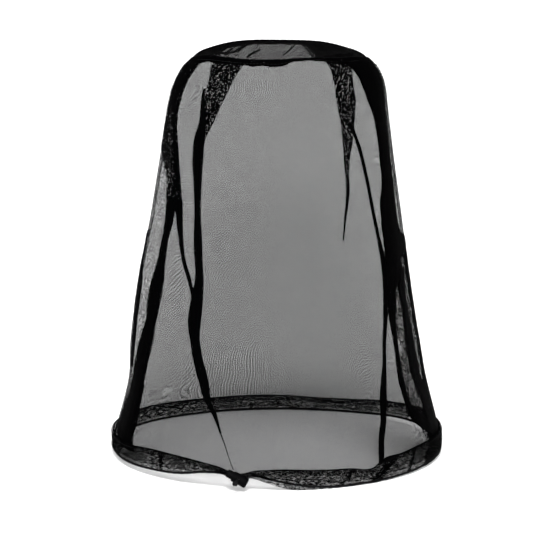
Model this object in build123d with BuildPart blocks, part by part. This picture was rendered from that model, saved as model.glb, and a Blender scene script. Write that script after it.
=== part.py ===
from build123d import *
import os
from math import cos, pi, radians, sin

# A beekeeping veil: a tube of net that hangs from a round crown panel, gathered into four pleats
# at the top, with a casing, drawcord and cord lock at the hem. Millimetres. The origin is the middle
# of the crown panel's underside, where the panel rests on a hat. +Z is up, -Y is the wearer's front.

# Crown
PANEL_RADIUS = 85.5
NET = 1.0  # thickness that stands for one layer of net
BINDING_WIDTH = 4.5
BINDING_TOP = 2.6
BINDING_BOTTOM = -6.0
BINDING_ROUND = 1.6

# Wall of net, as the radius and height of its middle line
CROWN_END = (PANEL_RADIUS + BINDING_WIDTH + 0.7, -3.0)
SHOULDER = (112.0, -44.0)
MIDDLE = (139.0, -223.0)
HEM_END = (170.0, -405.4)

# Side seams and pleats
SEAM_WIDTH = 8.0
SEAM_THICKNESS = 2.2
THREAD = 0.7
PLEAT_THICKNESS = 2.4
PLEAT_TOP = -7.0
PLEAT_TIP_WIDTH = 4.0
# name: bearing from the front towards the right in degrees, width at the crown, lowest point,
# sideways drift of the tip
PLEATS = {
    "front_left_pleat": (-34.0, 36.0, -88.0, -12.0),
    "front_right_pleat": (37.5, 24.0, -134.0, -7.0),
    "left_side_pleat": (-70.0, 38.0, -148.0, 19.0),
    "right_side_pleat": (66.0, 42.0, -200.0, -9.0),
}

# Hem casing
HEM_RADIUS = 170.0
HEM_TOP = -406.0
HEM_BOTTOM = -424.0
CASING_THICKNESS = 4.8
CASING_WALL = 0.7
HEM_STITCH_INSET = 2.2
OVERLAP_BEARING = 172.0
OVERLAP_WIDTH = 27.0
OVERLAP_THICKNESS = 0.9

# Drawcord and its exit
CORD = 2.4
CORD_LEVEL = -413.6
EXIT_BEARING = -13.4
EXIT_HALF_GAP = 4.2  # degrees of the ring on each side of the exit that the tails replace
TAIL_BEND = 7.2
TAIL_DROOP = 8.0
TAIL_REACH = 23.5  # from the bend's corner to the middle of the knot
BUTTONHOLE = (21.0, 6.4)
BUTTONHOLE_RIM = 1.2
KNOT_RADIUS = 3.0

# Cord lock: its plunger axis drops to the right, across the tails
LOCK_TILT = 28.0
LOCK_REACH = 11.0  # from the bend's corner to the middle of the lock's cord hole
BARREL_RADIUS = 5.5
BARREL_OPEN_END = -6.0
BARREL_CLOSED_END = 10.0
BORE_RADIUS = 4.45
BORE_FLOOR = 8.8
CORD_STEP = 1.4  # each tail's distance from the lock's middle
CORD_SLOT = 5.8
BARREL_SLOT = (-1.7, 1.7)
PLUNGER_RADIUS = 4.2
PLUNGER_CAP = -13.0
PLUNGER_INNER_END = 3.0
PLUNGER_SLOT = (-4.6, 1.5)
SPRING_RADIUS = 3.0
SPRING_WIRE = 0.6
SPRING_PITCH = 1.5
CLEAR = 0.1


def facing(bearing, reach=0.0, level=0.0):
    """The upright plane that faces outwards at a bearing: x to the right, y up, z outwards."""
    a = radians(bearing)
    return Plane(
        origin=(reach * sin(a), -reach * cos(a), level),
        x_dir=(cos(a), sin(a), 0),
        z_dir=(sin(a), -cos(a), 0),
    )


def wall_line(inset=0.0):
    """The wall's middle line from crown to hem, moved inwards and down by inset."""
    crown, shoulder, middle, hem = (
        (r - inset, z - inset) for r, z in (CROWN_END, SHOULDER, MIDDLE, HEM_END)
    )
    side = ThreePointArc(shoulder, middle, hem)
    TangentArc(shoulder, crown, tangent=side % 0 * -1)


def finish(part, name):
    """Labels a finished piece and writes it under its node's name."""
    part.label = name
    export_step(part, f"parts/{name}.step")
    print(f"{name}: {len(part.solids())} solid(s), {part.volume:.0f} mm3")


os.makedirs("parts", exist_ok=True)

# --- crown -----------------------------------------------------------------------------------------

with BuildPart() as crown_panel:
    with BuildSketch(Plane.XY):
        Circle(PANEL_RADIUS)
    extrude(amount=NET)
finish(crown_panel.part, "crown_panel")

with BuildPart() as crown_binding:
    with BuildSketch(Plane.XZ):
        with Locations((PANEL_RADIUS + BINDING_WIDTH / 2, (BINDING_TOP + BINDING_BOTTOM) / 2)):
            RectangleRounded(BINDING_WIDTH, BINDING_TOP - BINDING_BOTTOM, BINDING_ROUND)
    revolve(axis=Axis.Z)
finish(crown_binding.part, "crown_binding")

for name, level in {
    "crown_top_stitching": BINDING_TOP + THREAD / 2 + CLEAR,
    "crown_under_stitching": BINDING_BOTTOM - THREAD / 2 - CLEAR,
}.items():
    with BuildPart() as crown_stitching:
        with BuildSketch(Plane.XZ):
            with Locations((PANEL_RADIUS + BINDING_WIDTH / 2, level)):
                Circle(THREAD / 2)
        revolve(axis=Axis.Z)
    finish(crown_stitching.part, name)

# --- tube of net -----------------------------------------------------------------------------------

for name, cut_at, kept in (
    ("front_net_panel", SEAM_WIDTH / 2, Keep.TOP),
    ("back_net_panel", -SEAM_WIDTH / 2, Keep.BOTTOM),
):
    with BuildPart() as net_panel:
        with BuildSketch(Plane.XZ):
            with BuildLine():
                wall_line()
            trace(line_width=NET)
        revolve(axis=Axis.Z)
        split(bisect_by=Plane.XZ.offset(cut_at), keep=kept)
    finish(net_panel.part, name)

for side, kept in (("left", Keep.BOTTOM), ("right", Keep.TOP)):
    with BuildPart() as side_seam:
        with BuildSketch(Plane.XZ):
            with BuildLine():
                wall_line()
            trace(line_width=SEAM_THICKNESS)
        revolve(axis=Axis.Z)
        split(bisect_by=Plane.XZ.offset(SEAM_WIDTH / 2), keep=Keep.BOTTOM)
        split(bisect_by=Plane.XZ.offset(-SEAM_WIDTH / 2), keep=Keep.TOP)
        split(bisect_by=Plane.YZ, keep=kept)
    finish(side_seam.part, f"{side}_side_seam")

    with BuildPart() as seam_stitching:
        with BuildSketch(Plane.XZ):
            with BuildLine():
                wall_line(inset=-(SEAM_THICKNESS + THREAD) / 2 - CLEAR)
            trace(line_width=THREAD)
        extrude(amount=THREAD / 2, both=True)
        if side == "left":
            mirror(about=Plane.YZ, mode=Mode.REPLACE)
    finish(seam_stitching.part, f"{side}_seam_stitching")

for name, (bearing, width, lowest, drift) in PLEATS.items():
    with BuildPart() as pleat:
        with BuildSketch(Plane.XZ):
            with BuildLine():
                wall_line(inset=(NET + PLEAT_THICKNESS) / 2 + CLEAR)
            trace(line_width=PLEAT_THICKNESS)
        revolve(axis=Axis.Z)
        with BuildSketch(facing(bearing)):
            with BuildLine():
                Polyline(
                    (-width / 2, PLEAT_TOP),
                    (width / 2, PLEAT_TOP),
                    (drift + PLEAT_TIP_WIDTH / 2, lowest),
                    (drift - PLEAT_TIP_WIDTH / 2, lowest),
                    close=True,
                )
            make_face()
        extrude(amount=HEM_RADIUS, mode=Mode.INTERSECT)
    finish(pleat.part, name)

# --- hem -------------------------------------------------------------------------------------------

hem_height = HEM_TOP - HEM_BOTTOM
hem_level = (HEM_TOP + HEM_BOTTOM) / 2
casing_inside = HEM_RADIUS - CASING_THICKNESS / 2
casing_outside = HEM_RADIUS + CASING_THICKNESS / 2

with BuildPart() as hem_casing:
    with BuildSketch(Plane.XZ):
        with Locations((HEM_RADIUS, hem_level)):
            RectangleRounded(CASING_THICKNESS, hem_height, CASING_THICKNESS / 3)
            RectangleRounded(
                CASING_THICKNESS - 2 * CASING_WALL,
                hem_height - 2 * CASING_WALL,
                CASING_THICKNESS / 3 - CASING_WALL,
                mode=Mode.SUBTRACT,
            )
    revolve(axis=Axis.Z)
    with BuildSketch(facing(EXIT_BEARING, HEM_RADIUS, CORD_LEVEL)):
        SlotOverall(*BUTTONHOLE)
    extrude(amount=CASING_THICKNESS, mode=Mode.SUBTRACT)
finish(hem_casing.part, "hem_casing")

with BuildPart() as buttonhole_stitching:
    with BuildSketch(facing(EXIT_BEARING, casing_outside + CLEAR, CORD_LEVEL)):
        SlotOverall(BUTTONHOLE[0] + 2 * BUTTONHOLE_RIM, BUTTONHOLE[1] + 2 * BUTTONHOLE_RIM)
        SlotOverall(*BUTTONHOLE, mode=Mode.SUBTRACT)
    extrude(amount=THREAD)
finish(buttonhole_stitching.part, "buttonhole_stitching")

with BuildPart() as hem_casing_overlap:
    with BuildSketch(Plane.XZ):
        with Locations((casing_inside - CLEAR - OVERLAP_THICKNESS / 2, hem_level)):
            Rectangle(OVERLAP_THICKNESS, hem_height - 2 * CASING_WALL)
    revolve(axis=Axis.Z)
    with BuildSketch(facing(OVERLAP_BEARING, level=hem_level)):
        Rectangle(OVERLAP_WIDTH, hem_height)
    extrude(amount=HEM_RADIUS, mode=Mode.INTERSECT)
finish(hem_casing_overlap.part, "hem_casing_overlap")

overlap_face = casing_inside - CLEAR - OVERLAP_THICKNESS
with BuildPart() as overlap_stitching:
    with BuildSketch(facing(OVERLAP_BEARING, overlap_face - 2 * THREAD, hem_level)):
        with GridLocations(OVERLAP_WIDTH - 4 * THREAD, 0, 2, 1):
            Rectangle(THREAD, hem_height - 4 * CASING_WALL)
    extrude(amount=THREAD)
finish(overlap_stitching.part, "overlap_stitching")

for name, level in {
    "hem_top_stitching": HEM_TOP - HEM_STITCH_INSET,
    "hem_bottom_stitching": HEM_BOTTOM + HEM_STITCH_INSET,
}.items():
    with BuildPart() as hem_stitching:
        with BuildSketch(Plane.XZ):
            with Locations((casing_outside + CLEAR + THREAD / 2, level)):
                Circle(THREAD / 2)
        revolve(axis=Axis.Z)
    finish(hem_stitching.part, name)

# --- drawcord --------------------------------------------------------------------------------------

ring_start = facing(EXIT_BEARING + EXIT_HALF_GAP, HEM_RADIUS, CORD_LEVEL)
with BuildPart() as drawcord:
    with BuildSketch(Plane(ring_start.origin, x_dir=ring_start.z_dir, z_dir=ring_start.x_dir)):
        Circle(CORD / 2)
    revolve(axis=Axis.Z, revolution_arc=360 - 2 * EXIT_HALF_GAP)
finish(drawcord.part, "drawcord")

# The tails turn out of the casing and droop; x across them drops to the right with the lock.
exit_face = facing(EXIT_BEARING, HEM_RADIUS, CORD_LEVEL)
out = exit_face.z_dir * cos(radians(TAIL_DROOP)) - exit_face.y_dir * sin(radians(TAIL_DROOP))
across = exit_face.x_dir
upward = out.cross(across)
lock_axis = across * cos(radians(LOCK_TILT)) - upward * sin(radians(LOCK_TILT))
cord_side = out.cross(lock_axis)

for name, turn in (("left_cord_tail", -1), ("right_cord_tail", 1)):
    start = facing(EXIT_BEARING + turn * EXIT_HALF_GAP, HEM_RADIUS, CORD_LEVEL).origin
    corner = exit_face.origin + cord_side * (turn * CORD_STEP)
    end = corner + out * TAIL_REACH
    with BuildPart() as tail:
        with BuildLine():
            route = FilletPolyline(start, corner, end, radius=TAIL_BEND)
        with BuildSketch(Plane(origin=route @ 0, z_dir=route % 0)):
            Circle(CORD / 2)
        sweep()
    finish(tail.part, name)
    tube = pi * (CORD / 2) ** 2 * route.length
    print(f"  route {route.length:.1f} mm, bend radius {TAIL_BEND} mm")
    print(f"  volume over section times length {tail.part.volume / tube:.3f}")

knot_middle = exit_face.origin + out * TAIL_REACH
with BuildPart(Plane(knot_middle, x_dir=lock_axis, z_dir=out)) as tail_knot:
    Sphere(KNOT_RADIUS)
finish(tail_knot.part, "tail_knot")

# --- cord lock -------------------------------------------------------------------------------------

lock_middle = exit_face.origin + out * LOCK_REACH
# Across the lock, x is the plunger's axis and z the way the tails run out.
cord_way = Plane(lock_middle, x_dir=lock_axis, z_dir=out)


def across_axis(distance):
    """The plane square to the plunger's axis, at a distance along it."""
    return Plane(lock_middle + lock_axis * distance, x_dir=out, z_dir=lock_axis)


def cord_hole(low, high):
    """The outline of the slot for both tails, between two distances along the plunger's axis."""
    with Locations(((low + high) / 2, 0)):
        RectangleRounded(high - low, CORD_SLOT, 1.2)


with BuildPart() as cord_lock_barrel:
    with BuildSketch(across_axis(BARREL_OPEN_END)):
        Circle(BARREL_RADIUS)
    extrude(amount=BARREL_CLOSED_END - BARREL_OPEN_END)
    fillet(cord_lock_barrel.faces().sort_by(Axis((0, 0, 0), lock_axis))[-1].edges(), 2.0)
    fillet(cord_lock_barrel.faces().sort_by(Axis((0, 0, 0), lock_axis))[0].edges(), 0.5)
    with BuildSketch(across_axis(BARREL_OPEN_END)):
        Circle(BORE_RADIUS)
    extrude(amount=BORE_FLOOR - BARREL_OPEN_END, mode=Mode.SUBTRACT)
    with BuildSketch(cord_way):
        cord_hole(*BARREL_SLOT)
    extrude(amount=BARREL_RADIUS, both=True, mode=Mode.SUBTRACT)
finish(cord_lock_barrel.part, "cord_lock_barrel")

with BuildPart() as cord_lock_plunger:
    with BuildSketch(across_axis(PLUNGER_CAP)):
        Circle(PLUNGER_RADIUS)
    extrude(amount=PLUNGER_INNER_END - PLUNGER_CAP)
    fillet(cord_lock_plunger.faces().sort_by(Axis((0, 0, 0), lock_axis))[0].edges(), 1.4)
    with BuildSketch(cord_way):
        cord_hole(*PLUNGER_SLOT)
    extrude(amount=BARREL_RADIUS, both=True, mode=Mode.SUBTRACT)
finish(cord_lock_plunger.part, "cord_lock_plunger")

spring_low = PLUNGER_INNER_END + CLEAR + SPRING_WIRE / 2
spring_high = BORE_FLOOR - CLEAR - SPRING_WIRE / 2
spring_end = lock_middle + lock_axis * spring_low
with BuildPart() as cord_lock_spring:
    with BuildLine():
        coil = Helix(
            pitch=SPRING_PITCH,
            height=spring_high - spring_low,
            radius=SPRING_RADIUS,
            center=spring_end,
            direction=lock_axis,
        )
    with BuildSketch(Plane(origin=coil @ 0, z_dir=coil % 0)):
        Circle(SPRING_WIRE / 2)
    sweep(is_frenet=True)
finish(cord_lock_spring.part, "cord_lock_spring")

print("tails run along", [round(v, 5) for v in out], "plunger axis", [round(v, 5) for v in lock_axis])
print("lock middle", lock_middle, "spring's fixed end", lock_middle + lock_axis * BORE_FLOOR)
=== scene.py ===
"""A beekeeping veil of fine black net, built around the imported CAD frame. Metres; -Y is its front.

Bearings are degrees round the veil, 0 at the front and positive to the right seen from there. A drop
is a distance below the crown panel.
"""

import math

import bpy
import numpy as np
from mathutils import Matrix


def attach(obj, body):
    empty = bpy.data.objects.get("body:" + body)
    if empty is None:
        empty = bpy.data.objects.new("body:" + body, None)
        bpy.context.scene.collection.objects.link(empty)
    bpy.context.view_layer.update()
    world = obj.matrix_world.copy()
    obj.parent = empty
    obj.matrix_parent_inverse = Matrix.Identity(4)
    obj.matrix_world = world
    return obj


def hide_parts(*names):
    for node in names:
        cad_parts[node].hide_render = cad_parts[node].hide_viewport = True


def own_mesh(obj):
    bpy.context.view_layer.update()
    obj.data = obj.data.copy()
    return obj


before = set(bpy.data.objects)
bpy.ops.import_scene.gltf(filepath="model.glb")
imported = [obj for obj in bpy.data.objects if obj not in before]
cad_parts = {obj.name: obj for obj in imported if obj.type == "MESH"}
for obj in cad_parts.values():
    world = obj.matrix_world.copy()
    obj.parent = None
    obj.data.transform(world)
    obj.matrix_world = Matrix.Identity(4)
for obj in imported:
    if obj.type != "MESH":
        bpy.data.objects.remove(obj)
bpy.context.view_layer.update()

# --- sizes ---

MM = 0.001
PITCH = 0.45 * MM  # one hexagon of the net to the next
THREAD_SHARE = 0.38  # of the pitch, so about two fifths of the net is open
SPOTS = 2.0 * MM  # between the open spots where layers of net lie on each other
LAYER_GAP = 0.5 * MM  # between two layers that lie on each other
HEM_LEVEL = 0.408  # how far down the net meets its casing
CROWN = 87.0 * MM
CORD_DIAMETER = 2.4 * MM

OVERLAP = (166.0, 176.3)  # the bearings of the hem strip's ends, which lie over each other behind

# The way out of the hem for the drawcord's tails, as in the CAD
EXIT_BEARING = -13.4
EXIT_HALF_GAP = 4.2
CORD_LEVEL = -413.6 * MM
CORD_REACH = 170.0 * MM
TAIL_DROOP = 8.0
LOCK_TILT = 28.0
CORD_STEP = 1.4 * MM  # each tail's distance from the middle of the lock
TAIL_REACH = 23.5 * MM
LOCK_REACH = 11.0 * MM
SPRING_RADIUS = 3.0 * MM
SPRING_WIRE = 0.6 * MM
SPRING_PITCH = 1.5 * MM
SPRING_LOW = 3.1 * MM  # the spring's ends, along the plunger's axis from the middle of the lock
SPRING_HIGH = 8.7 * MM

# How far the wall stands out on the left and on the right at each drop below the crown's edge, in mm
DROPS = np.array([0, 5, 10, 18, 28, 40, 55, 79, 106, 174, 242, 311, 345, 387, 413, 430]) * MM
LEFT = np.array(
    [88, 92, 97.5, 103, 107.8, 112, 115.3, 119, 123.5, 134.5, 147.5, 157, 158.5, 168.5, 176, 174]
)
RIGHT = np.array(
    [88, 94, 98.5, 103.5, 107.5, 110, 111.5, 114, 117, 126, 135.5, 147.5, 154, 164.5, 170.5, 171]
)

# The crown seam's edges: bearing, then drop in mm. It droops at the sides, and is thickest in front.
SEAM_TOP = [
    (-180, -0.4), (-150, -0.4), (-120, 4), (-90, 7.2), (-70, 4.2), (-53, 1.7), (-27, 2.8), (0, 2.3),
    (13, 1.3), (28, 1.6), (38, 2.6), (60, 4.2), (90, 7.4), (120, 4.8), (150, 0.2),
]
SEAM_BOTTOM = [
    (-180, 4.6), (-150, 6.2), (-120, 11), (-90, 13.5), (-70, 11), (-53, 9), (-27, 9.2), (-12, 9.6),
    (1, 9.2), (8, 5.8), (28, 5.4), (36, 8.5), (60, 10.5), (90, 13.5), (120, 11), (150, 6.2),
]

# The hem's edges, as for the seam. It is drawn up and pinched where the cord leaves it.
HEM_TOP = [
    (-180, 406.5), (-152, 406), (-115, 402.5), (-90, 401.5), (-63, 402), (-50, 399), (-36, 400),
    (-25, 404), (-20, 407), (-17.5, 410), (-14.6, 413.3), (-11.5, 411), (-9, 408.4), (-5, 407.2),
    (0, 406.4), (12, 408), (24, 409), (34, 411), (38, 404.5), (46, 402.5), (55, 400.5), (62, 399.5),
    (90, 400), (115, 398.5), (137, 402.5), (163, 408),
]
HEM_BOTTOM = [
    (-180, 423.6), (-152, 423.5), (-115, 422), (-88, 422), (-78, 421), (-70, 422), (-48, 421),
    (-36, 419), (-25, 414), (-19, 413.6), (-13.4, 416), (-8.5, 416.5), (-4, 421), (0, 424.8),
    (5, 427.8), (18, 427.8), (46, 426.5), (62, 425), (75, 423.5), (90, 421.5), (105, 420),
    (126, 418.5), (150, 422.2),
]
# The drawcord lies along the bottom of the casing, and rises slowly to the exit from the right
CORD_DROP = [(-9.2, 413.6), (-5.4, 415), (-1, 418), (5, 421.8), (11, 424.6), (18, 426)]


# --- shapes ---


def smooth(x, knots, values):
    """A smooth curve through the knots."""
    knots, values = np.asarray(knots, float), np.asarray(values, float)
    slopes = np.gradient(values, knots)
    i = np.clip(np.searchsorted(knots, x) - 1, 0, len(knots) - 2)
    step = knots[i + 1] - knots[i]
    t = np.clip((x - knots[i]) / step, 0, 1)
    return (
        (2 * t**3 - 3 * t**2 + 1) * values[i]
        + (t**3 - 2 * t**2 + t) * step * slopes[i]
        + (3 * t**2 - 2 * t**3) * values[i + 1]
        + (t**3 - t**2) * step * slopes[i + 1]
    )


def round_the_veil(bearing, edge):
    """The drop of an edge of the seam or the hem at any bearing, in metres."""
    knots = [(b + turn, d) for turn in (-360, 0, 360) for b, d in edge]
    around = (np.asarray(bearing, float) + 180) % 360 - 180
    return smooth(around, [b for b, _ in knots], [d for _, d in knots]) * MM


def wobble(t, seed, waves=5, finest=1.0):
    """Smooth noise along t, about -1 to 1; its shortest wave is finest long."""
    rng = np.random.default_rng(seed)
    total = np.zeros_like(np.asarray(t, float))
    for k in range(waves):
        length = finest * (1 + 1.7 * k) * rng.uniform(0.85, 1.2)
        total += np.sin(2 * np.pi * (t / length + rng.random())) * rng.uniform(0.6, 1.0)
    return total / waves * 1.6


def wall_radius(bearing, drop):
    """How far the smooth wall stands from the veil's axis."""
    below = np.maximum(drop - round_the_veil(bearing, SEAM_TOP) * np.exp(-drop / (40 * MM)), 0)
    left, right = smooth(below, DROPS, LEFT * MM), smooth(below, DROPS, RIGHT * MM)
    return (left + right) / 2 + (right - left) / 2 * np.sin(np.radians(bearing))


def ripples(bearing, drop):
    """Soft upright folds in the net, still at the crown and the hem."""
    a = np.radians(bearing)
    share = np.clip(drop / HEM_LEVEL, 0, 1)
    hanging = np.sin(np.pi * share) ** 0.8
    near_crown = np.exp(-drop / (20 * MM))
    near_hem = np.exp(-(HEM_LEVEL - np.minimum(drop, HEM_LEVEL)) / (30 * MM))
    return MM * (
        hanging * 1.5 * np.sin(5 * a + 0.7 + 1.5 * share)
        + hanging * 0.9 * np.sin(9 * a + 2.1 - 2.2 * share)
        + hanging * 0.4 * np.sin(17 * a + 0.4 + 3.0 * share)
        + near_crown * 0.12 * np.sin(58 * a + 5 * share)
        + near_hem * 0.5 * np.sin(41 * a + 1.0)
    )


def wall(bearing, drop, inset=0.0):
    """Points on the veil's wall, moved inwards by inset."""
    bearing, drop = np.broadcast_arrays(np.asarray(bearing, float), np.asarray(drop, float))
    r = wall_radius(bearing, drop) + ripples(bearing, drop) - inset
    a = np.radians(bearing)
    return np.stack([r * np.sin(a), -r * np.cos(a), -drop], axis=-1)


# --- meshes ---


def grid(points, uv, slot=0, closed=False, capped=False):
    """A sheet of quads through rows of points; closed joins the last column to the first."""
    return {"points": points, "uv": uv, "slot": slot, "closed": closed, "capped": capped}


def arc_lengths(points, axis):
    """The distance along each row or column of points, starting at 0."""
    steps = np.linalg.norm(np.diff(points, axis=axis), axis=-1)
    zero = np.zeros_like(np.take(steps, [0], axis=axis))
    return np.concatenate([zero, np.cumsum(steps, axis=axis)], axis=axis)


def cloth_grid(points, slot=0, turn=0.0):
    """A grid whose UVs are metres on the cloth, turned by an angle in degrees."""
    u, v = arc_lengths(points, 1), arc_lengths(points, 0)
    c, s = math.cos(math.radians(turn)), math.sin(math.radians(turn))
    return grid(points, np.stack([u * c - v * s, u * s + v * c], axis=-1), slot)


def tube_grid(path, radius_in, radius_out, up, sides=10, slot=0, capped=True, lumps=None):
    """A tube round a path. The section is an oval, radius_out along up and radius_in across it."""
    path = np.asarray(path, float)
    ahead = np.gradient(path, axis=0)
    ahead /= np.linalg.norm(ahead, axis=1)[:, None]
    across = np.cross(ahead, up)
    across /= np.linalg.norm(across, axis=1)[:, None]
    upward = np.cross(across, ahead)
    a = np.linspace(0, 2 * np.pi, sides, endpoint=False)
    scale = np.ones((len(path), sides)) if lumps is None else lumps
    section = (
        across[:, None] * (np.cos(a) * radius_in)[None, :, None]
        + upward[:, None] * (np.sin(a) * radius_out)[None, :, None]
    ) * scale[..., None]
    along = np.concatenate([[0], np.cumsum(np.linalg.norm(np.diff(path, axis=0), axis=1))])
    round_it = np.linspace(0, np.pi * (radius_in + radius_out), sides + 1)
    uv = np.stack(np.broadcast_arrays(round_it[None, :], along[:, None]), axis=-1)
    return grid(path[:, None] + section, uv, slot, closed=True, capped=capped)


def ring_tube(path, radius_in, radius_out, up, sides=12, slot=0, lumps=None):
    """A tube round a path that closes on itself."""
    made = tube_grid(
        np.concatenate([path[-1:], path, path[:2]]), radius_in, radius_out, up, sides, slot, False,
        None if lumps is None else np.concatenate([lumps[-1:], lumps, lumps[:2]]),
    )
    made["points"], made["uv"] = made["points"][1:-2], made["uv"][1:-1]
    made["ring"] = True
    return made


def make_piece(name, grids, materials):
    """One mesh object from several grids, with smooth shading and UVs in metres."""
    points, faces, loops, slots, start = [], [], [], [], 0
    for g in grids:
        p = np.asarray(g["points"], float)
        rows, columns = p.shape[:2]
        wide = columns if g["closed"] else columns - 1
        tall = rows if g.get("ring") else rows - 1
        r, c = np.meshgrid(np.arange(tall), np.arange(wide), indexing="ij")
        r, c = r.ravel(), c.ravel()
        corners = [(r, c), (r, c + 1), (r + 1, c + 1), (r + 1, c)]
        faces += np.stack(
            [start + (i % rows) * columns + j % columns for i, j in corners], axis=1
        ).tolist()
        loops += np.stack([g["uv"][i, j] for i, j in corners], axis=1).reshape(-1, 2).tolist()
        slots += [g["slot"]] * len(r)
        if g["capped"]:
            for row, order in ((0, 1), (rows - 1, -1)):
                end = list(range(columns))[::-order]
                faces.append([start + row * columns + j for j in end])
                loops += [g["uv"][row, j].tolist() for j in end]
                slots.append(g["slot"])
        points.append(p.reshape(-1, 3))
        start += rows * columns
    mesh = bpy.data.meshes.new(name)
    mesh.from_pydata(np.concatenate(points).tolist(), [], faces)
    layer = mesh.uv_layers.new(name="cloth")
    layer.data.foreach_set("uv", np.array(loops, np.float32).ravel())
    for material in materials:
        mesh.materials.append(material)
    mesh.polygons.foreach_set("material_index", slots)
    mesh.polygons.foreach_set("use_smooth", [True] * len(faces))
    mesh.update()
    piece = bpy.data.objects.new(name, mesh)
    bpy.context.scene.collection.objects.link(piece)
    return piece


def fold_stack(edges, layers, seed, ragged=0.12, inset=0.6, slot=0):
    """A pleat: cloth to and fro between two edges down the wall, each layer behind the last.

    edges are knots of drop in mm, then the bearings of the pleat's left and right edge. inset is how
    far inside the wall the first layer lies, in mm.
    """
    knots = np.array(edges, float)
    drop = np.linspace(knots[0, 0], knots[-1, 0], max(8, int(np.ptp(knots[:, 0]) / 1.5))) * MM
    left, right = (smooth(drop, knots[:, 0] * MM, knots[:, side]) for side in (1, 2))
    across = np.linspace(0, layers, layers * 6 + 1)
    columns = []
    for column, where in enumerate(across):
        share = abs((where + 1) % 2 - 1)
        turn = round(where)
        rough = ragged * wobble(drop, seed * 31 + turn, finest=24 * MM)
        rough += 0.6 * ragged * wobble(drop, seed * 43 + turn, finest=7 * MM)
        lean = 0.5 * ragged * wobble(drop, seed * 57 + turn, finest=34 * MM)
        spread = 0.5 + (share - 0.5) * (1 - abs(rough)) + lean * (abs(share - 0.5))
        bearing = left + (right - left) * spread
        crumple = 0.25 * MM * wobble(drop, seed + column, finest=9 * MM)
        depth = inset * MM + LAYER_GAP * where + crumple
        columns.append(wall(bearing, drop, depth))
    return cloth_grid(np.stack(columns, axis=1), slot, turn=7.0 * (seed % 5))


# --- materials ---


class Nodes:
    """A short way to write a material's node tree."""

    def __init__(self, name):
        self.material = bpy.data.materials.new(name)
        self.material.use_nodes = True
        self.tree = self.material.node_tree
        self.shader = self.tree.nodes["Principled BSDF"]

    def add(self, kind, settings=(), **inputs):
        node = self.tree.nodes.new(kind)
        for key, value in dict(settings).items():
            setattr(node, key, value)
        for key, value in inputs.items():
            self.give(node.inputs[int(key[2:]) if key.startswith("in") else key], value)
        return node

    def give(self, socket, value):
        if isinstance(value, bpy.types.NodeSocket):
            self.tree.links.new(value, socket)
        else:
            socket.default_value = value

    def math(self, operation, *values):
        node = self.tree.nodes.new("ShaderNodeMath")
        node.operation = operation
        for socket, value in zip(node.inputs, values):
            self.give(socket, value)
        return node.outputs[0]

    def vector(self, operation, *values):
        node = self.tree.nodes.new("ShaderNodeVectorMath")
        node.operation = operation
        for socket, value in zip(node.inputs, values):
            self.give(socket, value)
        return node.outputs["Value" if operation in ("LENGTH", "DOT_PRODUCT") else 0]

    def noise(self, where, scale, detail=3.0):
        node = self.add("ShaderNodeTexNoise", Vector=where, Scale=scale, Detail=detail)
        return node.outputs["Fac"]

    def blend(self, factor, low, high):
        """A colour between two others."""
        node = self.add("ShaderNodeMix", {"data_type": "RGBA"}, Factor=factor)
        self.give(node.inputs[6], (*low, 1))
        self.give(node.inputs[7], (*high, 1))
        return node.outputs[2]

    def span(self, value, low, high, start=0.0, end=1.0):
        """The value, stretched from start and end to low and high."""
        node = self.add("ShaderNodeMapRange", Value=value)
        for name, limit in (
            ("From Min", start), ("From Max", end), ("To Min", low), ("To Max", high)
        ):
            node.inputs[name].default_value = limit
        return node.outputs[0]

    def set(self, **values):
        for key, value in values.items():
            self.give(self.shader.inputs[key.replace("_", " ")], value)

    def bump(self, height, distance, strength=1.0):
        node = self.add("ShaderNodeBump", Height=height, Distance=distance, Strength=strength)
        self.give(self.shader.inputs["Normal"], node.outputs[0])


def hex_edge(n, uv, pitch, turn=0.0, shift=0.0):
    """How far a point is from the nearest side of its hexagon, as a share of the pitch."""
    mapped = n.add(
        "ShaderNodeMapping",
        Vector=uv,
        Location=(shift, shift * 0.7, 0),
        Rotation=(0, 0, math.radians(turn)),
        Scale=(1 / pitch, 1 / pitch, 1),
    ).outputs[0]
    cell = (1.0, math.sqrt(3), 1.0)
    high, low = tuple(x / 2 for x in cell), tuple(-x / 2 for x in cell)
    here = n.vector("WRAP", mapped, high, low)
    there = n.vector("WRAP", n.vector("ADD", mapped, high), high, low)
    flat = (1.0, 1.0, 0.0)
    here, there = n.vector("MULTIPLY", here, flat), n.vector("MULTIPLY", there, flat)
    nearer = n.math("LESS_THAN", n.vector("LENGTH", here), n.vector("LENGTH", there))
    mix = n.add("ShaderNodeMix", {"data_type": "VECTOR"})
    n.give(mix.inputs["Factor"], nearer)
    n.give(mix.inputs[4], there)
    n.give(mix.inputs[5], here)
    g = n.vector("ABSOLUTE", mix.outputs[1])
    slanted = n.vector("DOT_PRODUCT", g, (0.5, math.sqrt(3) / 2, 0))
    level = n.vector("DOT_PRODUCT", g, (1.0, 0, 0))
    return n.math("SUBTRACT", 0.5, n.math("MAXIMUM", slanted, level))


def threads(n, edge, share):
    """1 on a thread and 0 in a hole, with a narrow soft edge."""
    ramp = n.add("ShaderNodeMapRange", {"interpolation_type": "SMOOTHSTEP"}, Value=edge)
    middle = n.math("MULTIPLY", share, 0.5)
    n.give(ramp.inputs["From Min"], n.math("ADD", middle, 0.03))
    n.give(ramp.inputs["From Max"], n.math("SUBTRACT", middle, 0.03))
    return ramp.outputs[0]


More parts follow.
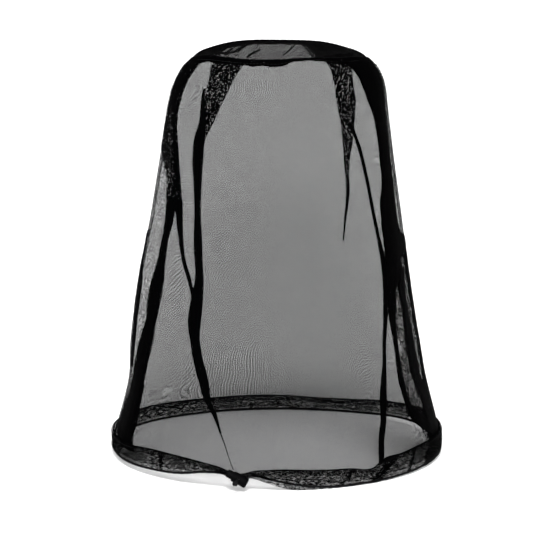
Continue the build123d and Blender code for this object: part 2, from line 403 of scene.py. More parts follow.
def net_material(
    name, layers=1, share=THREAD_SHARE, uneven=0.0, spots=(0.35, 0.65), grain=(1.0, 0.5, 1.0)
):
    """Hexagonal net. With two layers a second net lies askew on the first.

    Uneven net is more open in spots, which lie over each other in all the layers of a fold. spots are
    the levels of the noise at which the net is most open and densest, and grain how fine the spots
    are each way.
    """
    n = Nodes(name)
    uv = n.add("ShaderNodeUVMap", {"uv_map": "cloth"}).outputs[0]
    drift = n.add("ShaderNodeTexNoise", Vector=uv, Scale=14.0, Detail=2.0).outputs["Color"]
    pulled = n.vector("ADD", uv, n.vector("MULTIPLY", drift, (1.6 * MM, 0.8 * MM, 0)))
    edge = hex_edge(n, pulled, PITCH)
    share_here = share
    if uneven:
        where = n.vector("MULTIPLY", n.add("ShaderNodeTexCoord").outputs["Object"], grain)
        cloud = n.noise(where, 1 / SPOTS, detail=1.0)
        share_here = n.span(cloud, share - uneven, share + uneven, *spots)
    mask = threads(n, edge, share_here)
    if layers == 2:
        askew = threads(n, hex_edge(n, pulled, PITCH * 1.03, 11, 0.4), share_here)
        mask = n.math("MAXIMUM", mask, askew)
    tint = n.blend(n.noise(uv, 90.0), (0.0002, 0.0002, 0.00025), (0.0005, 0.0005, 0.0006))
    rough = n.span(n.noise(uv, 400.0), 0.5, 0.75)
    n.set(Base_Color=tint, Alpha=mask, Roughness=rough, Specular_IOR_Level=0.002)
    n.bump(n.math("SUBTRACT", share, n.math("MINIMUM", edge, share)), 0.3 * MM, 0.7)
    return n.material


def thread_material(name, twist=0.9 * MM, color=(0.002, 0.002, 0.0022)):
    """Twisted thread: a slanting wave along the tube."""
    n = Nodes(name)
    uv = n.add("ShaderNodeUVMap", {"uv_map": "cloth"}).outputs[0]
    slant = n.vector("DOT_PRODUCT", uv, (0.8 / twist, 1.0 / twist, 0))
    wave = n.math("SINE", n.math("MULTIPLY", slant, 2 * math.pi))
    fuzz = n.noise(uv, 2500.0)
    tint = n.blend(fuzz, color, [2.5 * x for x in color])
    n.set(Base_Color=tint, Roughness=0.65, Specular_IOR_Level=0.05)
    n.bump(n.math("ADD", wave, fuzz), 0.12 * MM, 0.8)
    return n.material


def cord_material(name):
    """Braided cord: two sets of strands that cross, with a little fuzz."""
    n = Nodes(name)
    where = n.add("ShaderNodeTexCoord").outputs["Generated"]
    uv = n.add("ShaderNodeUVMap", {"uv_map": "cloth"}).outputs[0]
    one = n.math("SINE", n.vector("DOT_PRODUCT", uv, (2400.0, 3000.0, 0)))
    two = n.math("SINE", n.vector("DOT_PRODUCT", uv, (2400.0, -3000.0, 0)))
    braid = n.math("MAXIMUM", one, two)
    fuzz = n.noise(where, 220.0)
    tint = n.blend(n.math("MULTIPLY", fuzz, 0.8), (0.0015, 0.0015, 0.0017), (0.005, 0.005, 0.0055))
    n.set(Base_Color=tint, Roughness=0.65, Specular_IOR_Level=0.06)
    n.bump(n.math("ADD", braid, n.math("MULTIPLY", fuzz, 0.5)), 0.2 * MM, 0.8)
    return n.material


def plastic_material(name, color, roughness, grain):
    """Moulded plastic with a fine grain and slightly uneven gloss."""
    n = Nodes(name)
    where = n.add("ShaderNodeTexCoord").outputs["Object"]
    tint = n.blend(n.noise(where, 260.0), color, [1.6 * x for x in color])
    gloss = n.span(n.noise(where, 900.0), roughness - 0.06, roughness + 0.1)
    n.set(Base_Color=tint, Roughness=gloss, Specular_IOR_Level=0.02)
    n.bump(n.noise(where, grain, detail=2.0), 0.05 * MM, 0.6)
    return n.material


def steel_material(name):
    """Drawn spring wire, with fine streaks."""
    n = Nodes(name)
    where = n.add("ShaderNodeTexCoord").outputs["Object"]
    streaks = n.noise(n.vector("MULTIPLY", where, (300.0, 300.0, 2400.0)), 1.0)
    tint = n.blend(streaks, (0.50, 0.50, 0.52), (0.68, 0.68, 0.70))
    n.set(Base_Color=tint, Roughness=n.span(streaks, 0.22, 0.42), Metallic=1.0)
    n.bump(streaks, 0.02 * MM, 0.5)
    return n.material


NET = net_material("fine black net", uneven=0.02)
SIDE_NET = net_material("net at the sides", uneven=0.16)
DOUBLE_NET = net_material("net folded double", layers=2)
FOLDED_NET = net_material(
    "net in its folds", share=0.42, uneven=0.38, spots=(0.40, 0.49), grain=(1.15, 0.55, 1.15)
)
HEM_NET = net_material("net in the hem", share=0.28, uneven=0.2, grain=(0.5, 0.5, 1.6))
LOOSE_NET = net_material(
    "loose layer of net", share=0.56, uneven=0.36, spots=(0.42, 0.58), grain=(0.9, 0.5, 0.9)
)
GATHERED = net_material("gathered net", share=0.62, uneven=0.1)
BUNCHED = net_material("net bunched in a seam", share=0.85)
THREAD = thread_material("sewing thread")
CORD = cord_material("braided cord")
BARREL_PLASTIC = plastic_material("moulded barrel", (0.0004, 0.0004, 0.0005), 0.6, 3000.0)
PLUNGER_PLASTIC = plastic_material("moulded plunger", (0.0006, 0.0006, 0.0007), 0.55, 2000.0)
STEEL = steel_material("spring wire")


# --- camera and stage ---


def make_camera():
    """A long lens a little above the crown, looking slightly down at the middle of the veil."""
    data = bpy.data.cameras.new("camera")
    data.lens = 198.5
    data.sensor_width = 36.0
    data.clip_end = 100.0
    camera = bpy.data.objects.new("camera", data)
    camera.location = (-0.0126, -3.053, 0.310)
    pitch = math.atan2(0.541, 3.053)
    camera.rotation_euler = (math.pi / 2 - pitch, 0, 0)
    bpy.context.scene.collection.objects.link(camera)
    bpy.context.scene.camera = camera


def make_stage():
    """A wide pale floor that rises slightly to the back, with light from above, in front and all round."""
    level, slope = -426 * MM, 0.012
    size = 30.0
    corners = [(-size, -size), (size, -size), (size, size), (-size, size)]
    mesh = bpy.data.meshes.new("floor")
    mesh.from_pydata([(x, y, level + slope * y) for x, y in corners], [], [(0, 1, 2, 3)])
    n = Nodes("pale floor")
    n.set(Base_Color=(0.9, 0.9, 0.9, 1), Roughness=0.9, Specular_IOR_Level=0.1)
    mesh.materials.append(n.material)
    floor = bpy.data.objects.new("floor", mesh)
    bpy.context.scene.collection.objects.link(floor)

    world = bpy.data.worlds.new("studio")
    world.use_nodes = True
    world.node_tree.nodes["Background"].inputs["Color"].default_value = (1, 1, 1, 1)
    world.node_tree.nodes["Background"].inputs["Strength"].default_value = 0.48
    bpy.context.scene.world = world
    # Two broad soft lamps: name, strength, apparent size and how far from overhead towards the front
    for name, strength, size, tilt in (("overhead", 4.1, 32, 30), ("front", 4.4, 6, 75.7)):
        light = bpy.data.lights.new(name, "SUN")
        light.energy = strength
        light.angle = math.radians(size)
        lamp = bpy.data.objects.new(name, light)
        lamp.rotation_euler = (math.radians(tilt), 0, 0)
        bpy.context.scene.collection.objects.link(lamp)


# --- the tails of the drawcord ---


def facing(bearing, reach, level):
    """The point at a bearing and a reach from the axis, with the directions to the right and out."""
    a = math.radians(bearing)
    outwards = np.array([math.sin(a), -math.cos(a), 0])
    right = np.array([math.cos(a), math.sin(a), 0])
    return outwards * reach + np.array([0, 0, level]), right, outwards


def tail_frame():
    """Where the tails leave the casing, and the directions along and across them."""
    corner, right, outwards = facing(EXIT_BEARING, CORD_REACH, CORD_LEVEL)
    droop, tilt = math.radians(TAIL_DROOP), math.radians(LOCK_TILT)
    out = outwards * math.cos(droop) - np.array([0, 0, 1.0]) * math.sin(droop)
    plunger = right * math.cos(tilt) - np.cross(out, right) * math.sin(tilt)
    return corner, out, np.cross(out, plunger)


def make_tails():
    """The drawcord's two ends: out of the buttonhole, through the lock and into the knot."""
    corner, out, across = tail_frame()
    tails = []
    for side, turn in (("left", -1), ("right", 1)):
        start, _, _ = facing(EXIT_BEARING + turn * EXIT_HALF_GAP, CORD_REACH, CORD_LEVEL)
        bend = corner + across * (turn * CORD_STEP)
        route = [start, bend, bend + out * 8.5 * MM, bend + out * TAIL_REACH]
        curve = bpy.data.curves.new(f"{side}_tail", "CURVE")
        curve.dimensions = "3D"
        curve.bevel_depth = CORD_DIAMETER / 2
        curve.bevel_resolution = 3
        curve.resolution_u = 16
        curve.use_fill_caps = True
        spline = curve.splines.new("NURBS")
        spline.points.add(len(route) - 1)
        for point, place in zip(spline.points, route):
            point.co = (*place, 1)
        spline.order_u = 3
        spline.use_endpoint_u = True
        curve.materials.append(CORD)
        tail = bpy.data.objects.new(f"{side}_tail", curve)
        bpy.context.scene.collection.objects.link(tail)
        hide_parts(f"{side}_cord_tail")
        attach(tail, "hem")
        tails.append(tail)
    return tails, corner, out, across


def make_knot(corner, out, across):
    """An overhand knot of the two tails, drawn up tight."""
    middle = corner + out * (TAIL_REACH + 0.5 * MM)
    side = np.cross(out, across)
    t = np.linspace(0, 2 * np.pi, 90, endpoint=False)
    wide = (2.0 + np.cos(3 * t)) * 0.66 * MM
    path = (
        middle
        + np.outer(wide * np.cos(2 * t), across)
        + np.outer(wide * np.sin(2 * t), side)
        + np.outer(1.1 * MM * np.sin(3 * t), out)
    )
    tied = ring_tube(path, 1.0 * MM, 1.0 * MM, out, 10)
    knot = make_piece("tail_knot_tied", [tied], [CORD])
    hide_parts("tail_knot")
    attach(knot, "hem")
    return knot


# --- the net ---

# The long folds of the front: layers, then knots of drop in mm and the bearings of both edges
LONG_FOLDS = {
    "left side": (7, [
        (147, -62.5, -56), (169, -61.3, -56.5), (190, -61.5, -58.3), (211, -62, -58),
        (232, -64, -57), (252, -65, -57.5), (273, -64, -58.5), (294, -67, -59), (317, -70, -61),
        (342, -75, -63.5), (365, -79, -64), (386, -83, -63), (399, -80, -62.5), (409, -70, -60),
    ]),
    "left edge": (4, [
        (190, -90, -82), (220, -90, -79), (240, -90, -74), (262, -85, -73), (282, -78, -73),
        (302, -77, -72.5), (330, -79, -75),
    ]),
    "left joined": (7, [
        (33, -44.7, -44.3), (44, -44.9, -43.5), (64, -44.5, -41.2), (84, -46.8, -40.5),
        (104, -46.5, -40.5), (124, -44.2, -40), (164, -41.2, -38.5), (184, -40.5, -36.8),
        (224, -37.5, -34), (244, -38.5, -33.2), (264, -39, -33.2), (284, -37.2, -33),
        (303, -35, -31), (323, -32.2, -28), (342, -29.2, -26.8), (356, -25.4, -24),
        (366, -23.2, -22.6), (374, -21.8, -21.4),
    ]),
    "left crease": (2, [
        (370, -22.4, -21.9), (385, -19.6, -19.2), (398, -17.4, -17.2), (408, -15.8, -15.5),
    ]),
    "left branch": (6, [
        (147, -56, -51.2), (167, -53.5, -49.5), (187, -49.5, -47.2), (206, -45.8, -44.4),
        (225, -41.2, -39.8), (243, -38, -36.8),
    ]),
    "front right tip": (4, [
        (132, 34, 35.9), (144, 33.2, 34.8), (163, 31.5, 32.5), (184, 30, 30.4),
    ]),
    "right inner": (6, [
        (66, 38.7, 39.6), (84, 42, 43.7), (106, 45.3, 47), (126, 47.5, 49), (147, 49, 50.6),
        (168, 50.4, 52), (189, 52, 53.7), (208, 52.6, 55.3), (230, 52.3, 55.3), (250, 51, 53.4),
        (270, 49.2, 51.2), (289, 47.2, 48.7), (309, 45.7, 47), (328, 43.6, 46), (348, 41.6, 44.6),
        (368, 40.3, 42.7), (387, 37.9, 40.2), (409, 36.2, 38.4),
    ]),
    "right side": (6, [
        (190, 56.5, 80), (196, 56.4, 90), (204, 55.9, 86), (212, 55.5, 75), (226, 54.5, 72.5),
        (236, 54, 65), (243, 53.7, 61.4), (252, 53.5, 59.7), (262, 53.4, 58.6), (274, 53.3, 57.3),
        (290, 53.9, 56.4), (312, 54, 56), (334, 53.7, 57), (352, 55.2, 58), (362, 56, 60),
        (373, 57.5, 66), (386, 63, 74), (398, 71, 83), (409, 78, 90),
    ]),
    "right middle": (6, [
        (224, 70, 73.6), (238, 64.2, 73), (254, 65.2, 71.4), (266, 66.4, 72), (278, 65.2, 72),
        (294, 64.2, 72.5), (310, 64, 72.8), (326, 64.4, 73.8), (342, 66.4, 75.5), (352, 68.2, 84),
        (361, 69.2, 92), (372, 69.3, 95), (388, 70, 96), (409, 68, 93),
    ]),
    "right edge": (4, [
        (196, 87, 88), (206, 82.5, 90), (217, 78.6, 92.5), (232, 77.5, 94), (256, 77.3, 93),
        (280, 77.6, 94), (297, 78.6, 92), (328, 78.2, 94), (344, 77.4, 93), (358, 75, 94),
    ]),
}

# A single loose layer behind the right side, between its folds, as knots of drop and bearings
LOOSE_LAYER = [(205, 57, 90), (262, 54, 90), (290, 56, 89), (340, 57, 89), (405, 66, 89)]


def wall_grid(start, end, columns, rows=150, slot=0, turn=0.0):
    """The wall between two bearings, from the crown's seam down into the hem casing."""
    bearing = np.linspace(start, end, columns)
    top = round_the_veil(bearing, SEAM_BOTTOM) - 1.5 * MM
    bottom = round_the_veil(bearing, HEM_TOP) + 6 * MM
    share = np.linspace(0, 1, rows)[:, None]
    drop = top[None, :] * (1 - share) + bottom[None, :] * share
    return cloth_grid(wall(bearing[None, :], drop), slot, turn)


def follow_lift(piece):
    """The net crumples up towards the crown as the hem is lifted."""
    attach(piece, "crown")
    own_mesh(piece)


def make_walls():
    """The front and back halves of the tube, the front one with its long folds and a loose layer.

    The net of the back lies askew to that of the front.
    """
    folds = [
        fold_stack(edges, layers, seed=11 + k, inset=-0.8, slot=2)
        for k, (layers, edges) in enumerate(LONG_FOLDS.values())
    ]
    front_wall = [
        wall_grid(-90, -60, 40, slot=1),
        wall_grid(-60, 56, 130),
        wall_grid(56, 90, 40, slot=1),
    ]
    loose = fold_stack(LOOSE_LAYER, 1, seed=90, inset=1.2, slot=3)
    back_wall = [
        wall_grid(90, 112, 30, slot=1, turn=30),
        wall_grid(112, 248, 150, turn=30),
        wall_grid(248, 270, 30, slot=1, turn=30),
    ]
    front_materials = [NET, SIDE_NET, GATHERED, LOOSE_NET]
    front = make_piece("front_net", [*front_wall, loose, *folds], front_materials)
    back = make_piece("back_net", back_wall, [NET, SIDE_NET])
    for piece, node in ((front, "front_net_panel"), (back, "back_net_panel")):
        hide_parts(node)
        follow_lift(piece)


# The pleats under the crown: each stack's layers and the knots of its edges, as for the long folds
PLEATS = {
    "front_left_pleat": [
        (3, [
            (8, -47, -23), (24, -43.5, -27), (34, -43, -29), (54, -43, -33.5), (64, -42.3, -35.5),
            (74, -41.6, -38), (85, -40.9, -40.2),
        ]),
    ],
    "front_right_pleat": [
        (3, [
            (6, 30.5, 51.5), (24, 31.2, 45.5), (43, 31.3, 45), (64, 32.8, 43), (84, 33.6, 40.6),
            (103, 33.9, 37.8), (134, 34.1, 35.8),
        ]),
    ],
    "left_side_pleat": [
        (3, [
            (8, -90, -57), (14, -84, -58.8), (30, -83, -62), (51, -89, -64.5), (72, -90, -63.5),
            (92, -88, -60), (110, -74, -57), (128, -65, -54), (148, -62.8, -51.3),
        ]),
        (6, [
            (8, -89, -57), (14, -83, -59), (30, -82, -62), (44, -80, -63.5), (56, -72, -64.3),
            (75, -68.5, -63.2), (92, -65, -60), (110, -62, -56.8), (128, -60, -54),
            (148, -57, -51.3),
        ]),
    ],
    "right_side_pleat": [
        (7, [
            (8, 44, 86), (14, 48, 80), (28, 51.5, 78), (38, 53, 76), (48, 55.8, 75.5), (58, 59, 75),
            (70, 61, 74.5), (90, 62, 74), (111, 61.6, 74), (132, 61.6, 73.5), (152, 57.6, 73),
            (173, 56.6, 73), (186, 56.5, 74.5), (198, 56.5, 82),
        ]),
    ],
}


def make_pleats():
    """The four pleats that take in the tube's fullness under the crown."""
    for number, (node, stacks) in enumerate(PLEATS.items()):
        side = "side" in node
        grids = [
            fold_stack(edges, layers, 40 + 3 * number + k, ragged=0.06, inset=-1.2 if side else 0.6)
            for k, (layers, edges) in enumerate(stacks)
        ]
        material = GATHERED if node == "right_side_pleat" else FOLDED_NET
        piece = make_piece(f"{node}_folds", grids, [material])
        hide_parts(node)
        follow_lift(piece)


def make_side_seams():
    """Flat seams down each side: four layers, with a row of stitches."""
    for side, bearing in (("left", -90.0), ("right", 90.0)):
        edges = [
            (drop, bearing - half, bearing + half) for drop, half in ((12, 1.3), (200, 1), (410, 0.8))
        ]
        folded = fold_stack(edges, 4, seed=70, ragged=0.08, inset=0.4)
        seam = make_piece(f"{side}_seam", [folded], [NET])
        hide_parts(f"{side}_side_seam")
        follow_lift(seam)
        drop = np.arange(16, 393, 0.5) * MM
        row = stitches(wall(np.full_like(drop, bearing), drop, -0.35 * MM), np.array([0, 1.0, 0]))
        thread = make_piece(f"{side}_seam_stitches", row, [THREAD])
        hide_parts(f"{side}_seam_stitching")
        follow_lift(thread)


def stitches(path, up, length=2.6 * MM, gap=1.0 * MM, radius=0.3 * MM):
    """Separate stitches along a path, each a short rounded tube that dips in at its ends."""
    along = np.concatenate([[0], np.cumsum(np.linalg.norm(np.diff(path, axis=0), axis=1))])
    made = []
    for start in np.arange(0, along[-1] - length, length + gap):
        at = start + np.linspace(0, length, 5)
        line = np.stack([np.interp(at, along, path[:, k]) for k in range(3)], axis=1)
        thin = np.array([0.35, 0.9, 1.0, 0.9, 0.35])[:, None] * np.ones((1, 6))
        made.append(tube_grid(line, radius, radius, up, 6, lumps=thin))
    return made


# --- the crown ---


def panel_height(x, y):
    """The crown panel's surface: it hangs from the seam and is pulled into slanting wrinkles."""
    r = np.hypot(x, y) / CROWN
    rim = round_the_veil(np.degrees(np.arctan2(x, -y)), SEAM_TOP) + 1 * MM
    lean = x - 0.2 * y
    pulled = np.sin(lean / (9 * MM) + 1.2 * np.sin(y / (31 * MM)))
    pulled += 0.6 * np.sin(lean / (5.2 * MM) + 1.0)
    calm = np.clip(1.15 - r, 0, 1) ** 0.5
    return -rim * r**2 - 3.2 * MM * (1 - r**2) + 0.6 * MM * pulled * calm


def panel_fold(start, end, width, layers=6):
    """A narrow fold that lies on the crown panel between two points, in mm."""
    start, end = np.array(start) * MM, np.array(end) * MM
    t = np.linspace(0, 1, 40)
    line = start + t[:, None] * (end - start)
    across = np.array([1.0, -(end - start)[0] / (end - start)[1]])
    across /= np.linalg.norm(across)
    half = width / 2 * MM * np.sin(np.pi * np.clip(t, 0.06, 0.94)) ** 0.5
    q = np.linspace(0, layers, layers * 4 + 1)
    side = 2 * np.abs((q + 1) % 2 - 1) - 1
    xy = line[:, None] + across * (half[:, None] * side[None, :])[..., None]
    z = panel_height(xy[..., 0], xy[..., 1]) + 0.4 * MM + 0.3 * MM * q[None, :]
    return cloth_grid(np.concatenate([xy, z[..., None]], axis=-1))


def make_crown_panel():
    """The round panel of doubled net, with a few narrow folds that lie mostly across its left half."""
    bearing, reach = np.linspace(0, 360, 181), np.linspace(0.001, 1, 50) * (CROWN + 1 * MM)
    a, r = np.radians(bearing)[None, :], reach[:, None]
    x, y = r * np.sin(a), -r * np.cos(a)
    panel = np.stack([x, y, panel_height(x, y)], axis=-1)
    grids = [grid(panel[:, :-1], np.stack([x, y], axis=-1), slot=1, closed=True)]
    for start, end, width in (
        ((-57, -50), (-35, 46), 4.6),
        ((-71, -40), (-54, 42), 3.6),
        ((-66, -52), (-49, 20), 2.4),
        ((-34, -70), (-20, 10), 1.8),
        ((3, -60), (16, 40), 1.2),
    ):
        grids.append(panel_fold(start, end, width))
    piece = make_piece("crown_net", grids, [BUNCHED, DOUBLE_NET])
    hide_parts("crown_panel")
    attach(piece, "crown")


# The spare cloth bunched over the crown, layer on layer: its side, 1 for the right, then how far from
# the middle its inner edge lies in front and behind, in mm
GATHERS = [
    (1, 34, 20), (1, 38, 25), (1, 42, 30), (1, 47, 35), (1, 53, 41), (1, 60, 48), (-1, 71, 55),
    (-1, 74, 59), (-1, 77, 64),
]


def make_crown_gathers():
    """The spare cloth bunched over the right third of the crown, and less of it at the left edge."""
    grids = []
    y_share = np.linspace(-0.97, 0.97, 90)[:, None]
    for k, (side, front, back) in enumerate(GATHERS):
        y = y_share * CROWN
        edge = np.interp(y_share, [-1, 1], [front, back]) * MM
        edge = edge + 1.6 * MM * wobble(y, 300 + k, finest=17 * MM)
        rim = np.sqrt(CROWN**2 - y**2)
        edge = np.minimum(edge, rim - 1 * MM)
        share = np.linspace(0, 1, 26)[None, :]
        x = side * (edge + (rim - edge) * share)
        creased = 0.8 * np.sin(x / (3.1 * MM) + 0.9 * k + y / (17 * MM)) * np.sin(np.pi * share)
        near_rim = np.clip((1 - np.hypot(x, y) / CROWN) / 0.12, 0, 1)
        z = panel_height(x, y) + (0.3 + (0.4 * (k % 6) + 0.8 + creased) * near_rim) * MM
        folded = np.stack(np.broadcast_arrays(x, y, z), axis=-1)
        grids.append(cloth_grid(folded, slot=int(k > 0), turn=9.0 * k))
    piece = make_piece("crown_gathers", grids, [FOLDED_NET, BUNCHED])
    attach(piece, "crown")


def make_crown_seam():
    """The seam round the crown: a turned, gathered roll of net, thick in front and thin beside it."""
    columns, sides = 720, 18
    bearing = np.linspace(-180, 180, columns, endpoint=False)
    top, low = round_the_veil(bearing, SEAM_TOP), round_the_veil(bearing, SEAM_BOTTOM)
    a = np.linspace(0, 2 * np.pi, sides, endpoint=False)
    pucker = 0.45 * np.sin(np.radians(bearing) * 97) + 0.6 * wobble(bearing, 5, waves=6, finest=4.0)
    lumps = 1 + 0.14 * pucker[:, None] * (0.6 + 0.4 * np.cos(a)[None, :])
    low = low + 0.9 * MM * wobble(bearing, 8, waves=4, finest=3.5)
    middle, half = (top + low) / 2 + pucker * 0.3 * MM, (low - top) / 2
    drop = middle[:, None] - half[:, None] * np.sin(a)
    r = 87.4 * MM + 2.2 * MM * np.cos(a)[None, :] * lumps + 0.25 * (drop - top[:, None])
    b = np.radians(bearing)[:, None]
    points = np.stack(np.broadcast_arrays(r * np.sin(b), -r * np.cos(b), -drop), axis=-1)
    along = np.linspace(0, 2 * np.pi * 88 * MM, columns + 1)
    round_it = np.linspace(0, 22 * MM, sides + 1)
    uv = np.stack(np.broadcast_arrays(along[:, None], round_it[None, :]), axis=-1)
    seam = grid(points, uv, closed=True)
    seam["ring"] = True
    piece = make_piece("crown_seam", [seam], [BUNCHED])
    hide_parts("crown_binding")
    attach(piece, "crown")
    around = np.linspace(-180, 180, 1200)
    b = np.radians(around)
    for name, node, reach, share in (
        ("crown_top_stitches", "crown_top_stitching", 86.4, 0.0),
        ("crown_under_stitches", "crown_under_stitching", 91.2, 0.6),
    ):
        above, below = round_the_veil(around, SEAM_TOP), round_the_veil(around, SEAM_BOTTOM)
        drop = above * (1 - share) + below * share
        path = np.stack([reach * MM * np.sin(b), -reach * MM * np.cos(b), -drop], axis=1)
        thread = make_piece(name, stitches(path, np.array([0, 0, 1.0])), [THREAD])
        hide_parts(node)
        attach(thread, "crown")


# --- the hem ---


def hem_middle(bearing):
    """How far the casing's middle stands from the axis."""
    drop = (round_the_veil(bearing, HEM_TOP) + round_the_veil(bearing, HEM_BOTTOM)) / 2
    return wall_radius(bearing, drop)


def casing_points(bearing, share, inset):
    """Points on the casing: share is 0 at its top edge and 1 at its bottom edge."""
    top, bottom = round_the_veil(bearing, HEM_TOP), round_the_veil(bearing, HEM_BOTTOM)
    drop = top + (bottom - top) * share
    r = hem_middle(bearing) - inset
    a = np.radians(bearing)
    return np.stack(np.broadcast_arrays(r * np.sin(a), -r * np.cos(a), -drop), axis=-1)


# Where the casing is creased over itself: layers, then knots of share down it and both bearings
HEM_CREASES = [
    (5, [(0.0, 38, 45), (0.3, 37, 43), (0.6, 33, 40), (1.0, 31, 36)]),
    (4, [(0.0, 66, 90), (0.5, 62, 90), (1.0, 60, 88)]),
    (4, [(0.0, 84, 112), (0.5, 80, 108), (1.0, 74, 104)]),
    (3, [(0.0, -92, -66), (0.5, -92, -68), (1.0, -90, -72)]),
    (3, [(0.0, 24, 27), (1.0, 19, 21)]),
    (3, [(0.0, 52, 55), (1.0, 49, 51)]),
    (3, [(0.0, -45, -42), (1.0, -44, -43)]),
    (3, [(0.0, -24, -15), (0.5, -22, -12), (1.0, -20, -10)]),
    (3, [(0.0, -113, -105), (1.0, -115, -106)]),
]


def hem_crease(layers, edges, seed):
    """A crease across the casing, folded to and fro between two edges."""
    knots = np.array(edges, float)
    share = np.linspace(0, 1, 14)
    left, right = (np.interp(share, knots[:, 0], knots[:, side]) for side in (1, 2))
    columns = []
    for where in np.linspace(0, layers, layers * 6 + 1):
        side = abs((where + 1) % 2 - 1)
        rough = 0.1 * wobble(share, seed + round(where), finest=0.5)
        bearing = left + (right - left) * (0.5 + (side - 0.5) * (1 - abs(rough)))
        inset = (0.5 * where - 1.0 - 0.5 * layers / 2) * MM
        columns.append(casing_points(bearing, share * 0.96 + 0.02, inset))
    return cloth_grid(np.stack(columns, axis=1), slot=1)


def make_casing():
    """The folded strip round the hem: a flat tube of net with two layers inside, creased in places."""
    columns, sides = 900, 20
    bearing = np.linspace(-180, 180, columns, endpoint=False)[:, None]
    a = np.linspace(0, 2 * np.pi, sides, endpoint=False)[None, :]
    crumple = wobble(bearing, 9, waves=7, finest=2.4) + 0.7 * np.sin(np.radians(bearing) * 131)
    slant = np.sin(np.radians(bearing) * 64 + 3.2 * np.sin(a))
    thick = 1.7 * MM * (1 + 0.18 * crumple) + 0.35 * MM * slant
    share = 0.5 - 0.5 * np.sin(a) * (1 + 0.015 * crumple)
    tube = casing_points(bearing, share, -thick * np.cos(a) - 0.4 * MM * crumple)
    along = np.linspace(0, 1.09, columns + 1)[:, None]
    round_it = np.linspace(0, 41 * MM, sides + 1)[None, :]
    shell = grid(tube, np.stack(np.broadcast_arrays(along, round_it), axis=-1), slot=1, closed=True)
    shell["ring"] = True
    grids = [shell]
    from_end_to_end = np.linspace(OVERLAP[1] - 360, OVERLAP[0], columns + 1)[:, None]
    for k, inset in enumerate((-0.5, 0.5)):
        down = np.linspace(0.03, 0.76 - 0.02 * k, 8)[None, :]
        crease = 0.35 * MM * wobble(from_end_to_end, 20 + k, waves=6, finest=3.0)
        layer = casing_points(from_end_to_end, down, inset * MM + crease)
        grids.append(cloth_grid(layer, turn=15.0 * k, slot=1))
    waving = 0.3 * MM * wobble(bearing[:, 0], 33, waves=6, finest=3.0)
    edge = casing_points(bearing[:, 0], 0.02, waving)
    swell = 1 + 0.35 * wobble(bearing[:, 0], 34, waves=6, finest=5.0)[:, None] * np.ones((1, 8))
    roll = ring_tube(edge, 0.8 * MM, 0.7 * MM, np.array([0, 0, 1.0]), 8, slot=2, lumps=swell)
    creases = [
        hem_crease(layers, edges, 500 + 20 * k) for k, (layers, edges) in enumerate(HEM_CREASES)
    ]
    piece = make_piece("hem_strip", [*grids, roll, *creases], [NET, HEM_NET, GATHERED])
    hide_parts("hem_casing")
    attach(piece, "hem")


def make_overlap():
    """The strip's two ends over each other behind, with an upright row of stitches at each edge."""
    bearing = np.linspace(*OVERLAP, 30)[:, None]
    share = np.linspace(0.02, 0.97, 16)[None, :]
    end = cloth_grid(casing_points(bearing, share, 2.6 * MM + 0.2 * MM * np.sin(bearing * 2.0)))
    piece = make_piece("hem_overlap", [end], [HEM_NET])
    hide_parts("hem_casing_overlap")
    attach(piece, "hem")
    rows = []
    for edge in (OVERLAP[0] + 0.5, OVERLAP[1] - 0.5):
        for step in (0.0, 0.35):
            down = np.linspace(0.04, 0.95, 30)
            line = casing_points(np.full(30, edge + step), down, 3.2 * MM)
            up = facing(edge, 1.0, 0)[1]
            rows += stitches(line, up, length=2.0 * MM, gap=0.6 * MM, radius=0.4 * MM)
    thread = make_piece("overlap_stitches", rows, [THREAD])
    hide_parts("overlap_stitching")
    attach(thread, "hem")


def make_hem_stitches():
    """Two rows of stitches along the casing, outside."""
    bearing = np.linspace(-180, 180, 1400)
    for name, share in (("top", 0.1), ("bottom", 0.8)):
        path = casing_points(bearing, share, -2.2 * MM)
        row = stitches(path, np.array([0, 0, 1.0]))
        thread = make_piece(f"hem_{name}_stitches", row, [THREAD])
        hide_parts(f"hem_{name}_stitching")
        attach(thread, "hem")


def make_drawcord():
    """The cord in the bottom of the casing, from one side of the buttonhole round to the other."""
    bearing = np.linspace(EXIT_BEARING + EXIT_HALF_GAP, EXIT_BEARING + 360 - EXIT_HALF_GAP, 900)
    around = (bearing + 180) % 360 - 180
    drop = round_the_veil(around, HEM_BOTTOM) - 1.6 * MM
    rising = (around > EXIT_BEARING) & (around < CORD_DROP[-1][0])
    drop = np.where(rising, np.interp(around, *np.array(CORD_DROP).T) * MM, drop)
    # The last 5 degrees before the buttonhole rise to its level, and both ends come out to its reach
    to_end = EXIT_BEARING + 360 - EXIT_HALF_GAP - bearing
    near = np.clip(1 - to_end / 5, 0, 1) ** 2 * (bearing > 300)
    drop = drop * (1 - near) - CORD_LEVEL * near
    to_exit = np.exp(-(((np.abs(around - EXIT_BEARING) - EXIT_HALF_GAP) / 4.0) ** 2))
    reach = (hem_middle(around) + 0.6 * MM) * (1 - to_exit) + CORD_REACH * to_exit
    a = np.radians(bearing)
    path = np.stack([reach * np.sin(a), -reach * np.cos(a), -drop], axis=1)
    cord = tube_grid(path, CORD_DIAMETER / 2, CORD_DIAMETER / 2, np.array([0, 0, 1.0]), 12)
    piece = make_piece("drawcord_braid", [cord], [CORD])
    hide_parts("drawcord")
    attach(piece, "hem")


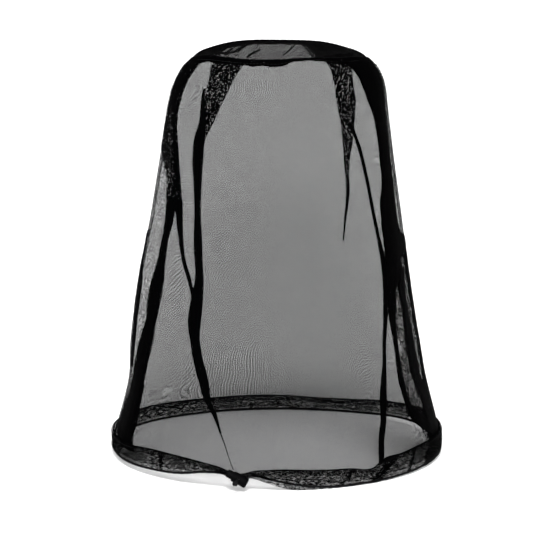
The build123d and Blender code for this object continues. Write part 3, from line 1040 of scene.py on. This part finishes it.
def make_buttonhole():
    """Close stitches round the slot that the tails come out of, drawn shut like the hem round it."""
    grids = []
    for t in np.linspace(0, 2 * np.pi, 56, endpoint=False):
        points = []
        for size, lift in ((0.85, 2.0), (1.0, 2.5), (1.15, 2.0)):
            bearing = EXIT_BEARING + 3.4 * size * math.cos(t)
            points.append(casing_points(bearing, 0.5 + 0.42 * size * math.sin(t), -lift * MM))
        grids.append(tube_grid(np.array(points), 0.3 * MM, 0.3 * MM, np.array([0.3, 0.2, 0.9]), 6))
    piece = make_piece("buttonhole_stitches", grids, [THREAD])
    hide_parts("buttonhole_stitching")
    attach(piece, "hem")


def make_spring(corner, out, across):
    """The coil spring in the lock's barrel. It shortens as the plunger is pressed in."""
    axis = np.cross(across, out)
    middle = corner + out * LOCK_REACH
    t = np.linspace(0, 1, 100)[:, None]
    rise = (SPRING_HIGH - SPRING_LOW - SPRING_WIRE) * t
    turn = 2 * np.pi * rise / SPRING_PITCH
    path = (
        middle
        + axis * (SPRING_LOW + SPRING_WIRE / 2 + rise)
        + SPRING_RADIUS * (np.cos(turn) * across + np.sin(turn) * out)
    )
    coil = tube_grid(path, SPRING_WIRE / 2, SPRING_WIRE / 2, axis, 10)
    spring = make_piece("spring_coil", [coil], [STEEL])
    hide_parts("cord_lock_spring")
    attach(spring, "cord_lock")
    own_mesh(spring)


def finish_lock():
    """The cord lock keeps its CAD shapes, in moulded plastic."""
    for node, material in (
        ("cord_lock_barrel", BARREL_PLASTIC),
        ("cord_lock_plunger", PLUNGER_PLASTIC),
    ):
        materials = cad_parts[node].data.materials
        materials.clear()
        materials.append(material)


make_camera()
tails, corner, out, across = make_tails()
knot = make_knot(corner, out, across)
make_stage()
make_walls()
make_pleats()
make_side_seams()
make_crown_panel()
make_crown_gathers()
make_crown_seam()
make_casing()
make_overlap()
make_hem_stitches()
make_drawcord()
make_buttonhole()
make_spring(corner, out, across)
finish_lock()

scene = bpy.context.scene
scene.view_settings.view_transform = "Standard"
scene.cycles.transparent_max_bounces = 64
